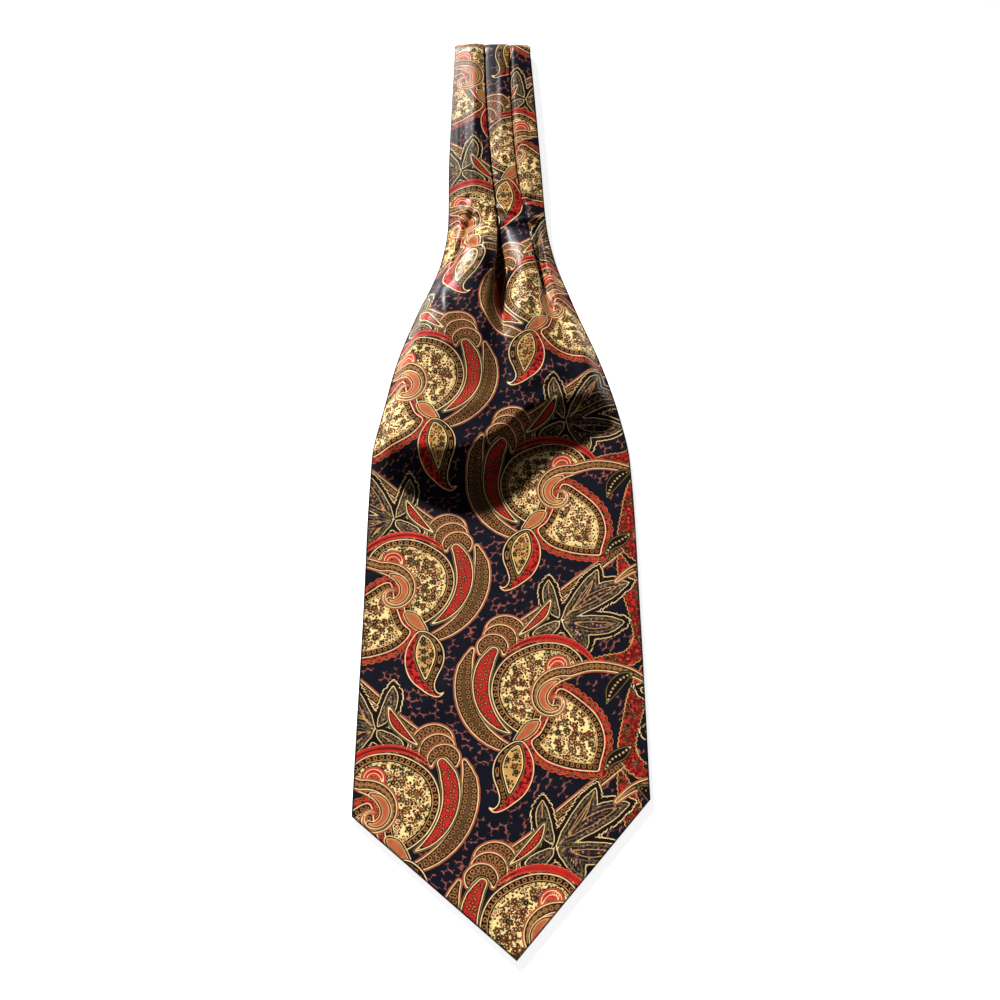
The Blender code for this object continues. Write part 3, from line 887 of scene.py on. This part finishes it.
def rearHalf():
    # the cloth folded behind, wrapped round as one closed piece with its layers showing at the rim
    inset, sides = rearFold["inset"], rearFold["sideFaces"]
    flatLeft, flatRight = foldRows[0][1], foldRows[0][4]
    x = np.linspace(flatLeft, flatRight, round(cloth["width"] / rearFold["step"]) + 1)
    x[np.argmin(abs(x - cloth["pointX"]))] = cloth["pointX"]
    across = (x - flatLeft) / (flatRight - flatLeft)
    rows = round(cloth["neckEnd"] / rearFold["step"])
    # both ends close in two short rows
    shares = np.concatenate([[0, 0.0008], np.linspace(0.003, 0.997, rows), [0.9992, 1]])
    level = np.linspace(0, 1, sides + 1)
    places, flat, edgeAway = [], [], []
    for share in shares:
        at = (pointEdge(x) + inset * rearFold["pointInset"]) * (1 - share) + cloth["neckEnd"] * share
        left, right = readFold("left", at) + inset, readFold("right", at) - inset
        placeX = left + (right - left) * across
        top = rearTop(at)
        closing = 0.0 if share in (0, 1) else 1.0
        layers = 1 + (rearFold["layers"] - 1) * layered(at[[0, -1]])
        bulge = [closing * rearFold["bulge"] * (abs(np.sin(math.pi * level * count)) ** 0.6 - 0.2)
                 for count in layers]
        loopX = np.concatenate([placeX[::-1], placeX[0] - bulge[0][1:-1], placeX,
                                placeX[-1] + bulge[1][-2:0:-1], placeX[-1:]])
        loopAt = np.concatenate([at[::-1], np.full(sides - 1, at[0]), at, np.full(sides, at[-1])])
        rise = np.concatenate([np.zeros(len(x)), level[1:-1], np.ones(len(x)), level[-2:0:-1], [0.0]])
        loopTop = np.concatenate([top[::-1], np.full(sides - 1, top[0]), top, np.full(sides, top[-1])])
        height = loopTop * (0.5 + (rise - 0.5) * closing)
        places.append(np.stack([loopX, loopAt - halfLength, height], 1))
        side = np.where(loopX < 0, -1, 1) * height
        flat.append(np.stack([loopX + side, loopAt], 1))
        edgeAway.append(np.clip(np.minimum(loopX - placeX[0], placeX[-1] - loopX), 0, farAway))
    return clothGrid("rearHalfSilk", len(places[0]) - 1, len(shares) - 1, places, flat, edgeAway, True)


blade = frontBlade()
print("blade laid")
throat = pleatedStretch("frontThroatSilk", cloth["bladeEnd"], cloth["throatEnd"], frontFaces["throat"])
print("throat gathered")
neck = pleatedStretch("frontNeckSilk", cloth["throatEnd"], cloth["neckEnd"], frontFaces["neck"])
fold = neckFold()
print("neck pleated")

backdrop = {"reach": 4.0, "grey": (0.55, 0.55, 0.55, 1), "glow": 0.88, "room": 0.035}
floorMesh = bmesh.new()
bmesh.ops.create_grid(floorMesh, x_segments=1, y_segments=1, size=backdrop["reach"])
floorData = bpy.data.meshes.new("floor")
floorMesh.to_mesh(floorData)
floorMesh.free()
floor = bpy.data.objects.new("floor", floorData)
bpy.context.scene.collection.objects.link(floor)
paper = Shader("palePaper")
paper.fill(paper.surface, {"Base Color": backdrop["grey"], "Roughness": 0.9,
                           "Emission Color": (1, 1, 1, 1), "Emission Strength": backdrop["glow"]})
floor.data.materials.append(paper.material)

rear = rearHalf()
print("rear half folded")
rearSilk = printedSilk("rearSilk")
# each piece's node, material, slot, cut (width and length in metres, and area), how it lies and on what
pieces = (
    (blade, "front_blade", silk, "printed_silk", (0.1553, 0.250), 0.03292, "laid", [rear]),
    (throat, "front_throat", silk, "printed_silk", (0.1553, 0.182), None, "gathered", [rear]),
    (neck, "front_neck", silk, "printed_silk", (0.1180, 0.168), None, "folded", [rear]),
    (fold, "neck_fold", silk, "printed_silk", (0.1180, 0.024), None, "folded", [floor]),
    (rear, "rear_half", rearSilk, "hidden_silk", (0.1529, 0.599), 0.0645, "folded", [floor]),
)
for piece, node, material, slotName, cut, area, held, under in pieces:
    piece.data.materials.append(material)
    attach(piece, "root")
    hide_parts(node)
    print(node, "cloth", round(sum(face.area for face in piece.data.polygons) / 2, 5), "m2, triangles",
          sum(len(face.vertices) - 2 for face in piece.data.polygons))

key = {"place": (-2.6, 5.9, 2.95), "aim": (0, -0.28, 0), "size": 0.45, "power": 17500.0, "beam": 6.1}
keyData = bpy.data.lights.new("keySoft", "SPOT")
keyData.shadow_soft_size, keyData.energy = key["size"], key["power"]
keyData.spot_size, keyData.spot_blend = math.radians(key["beam"]), 1.0
fill = {"place": (-1.2, -0.4, 1.7), "aim": (0, 0, 0), "size": 1.4, "power": 3.0}
fillData = bpy.data.lights.new("fillSoft", "AREA")
fillData.size, fillData.energy = fill["size"], fill["power"]
for name, data, setting in (("keySoft", keyData, key), ("fillSoft", fillData, fill)):
    lamp = bpy.data.objects.new(name, data)
    lamp.location = setting["place"]
    lamp.rotation_euler = (Vector(setting["aim"]) - Vector(setting["place"])).to_track_quat("-Z", "Y").to_euler()
    bpy.context.scene.collection.objects.link(lamp)
world = bpy.data.worlds.new("paleRoom")
bpy.context.scene.world = world
world.use_nodes = True
sky = world.node_tree.nodes["Background"]
sky.inputs["Color"].default_value = (1, 1, 1, 1)
sky.inputs["Strength"].default_value = backdrop["room"]
bpy.context.scene.view_settings.view_transform = "Standard"

view = {"tilt": 62.6, "away": 0.8077, "lookAt": (-0.00075, -0.0479, 0.0), "lens": 50.0}
tilt = math.radians(view["tilt"])
camera = bpy.data.objects.new("camera", bpy.data.cameras.new("camera"))
camera.data.lens = view["lens"]
camera.data.clip_start = 0.01
camera.location = Vector(view["lookAt"]) + view["away"] * Vector((0, -math.cos(tilt), math.sin(tilt)))
camera.rotation_euler = (math.radians(90) - tilt, 0, 0)
bpy.context.scene.collection.objects.link(camera)
bpy.context.scene.camera = camera
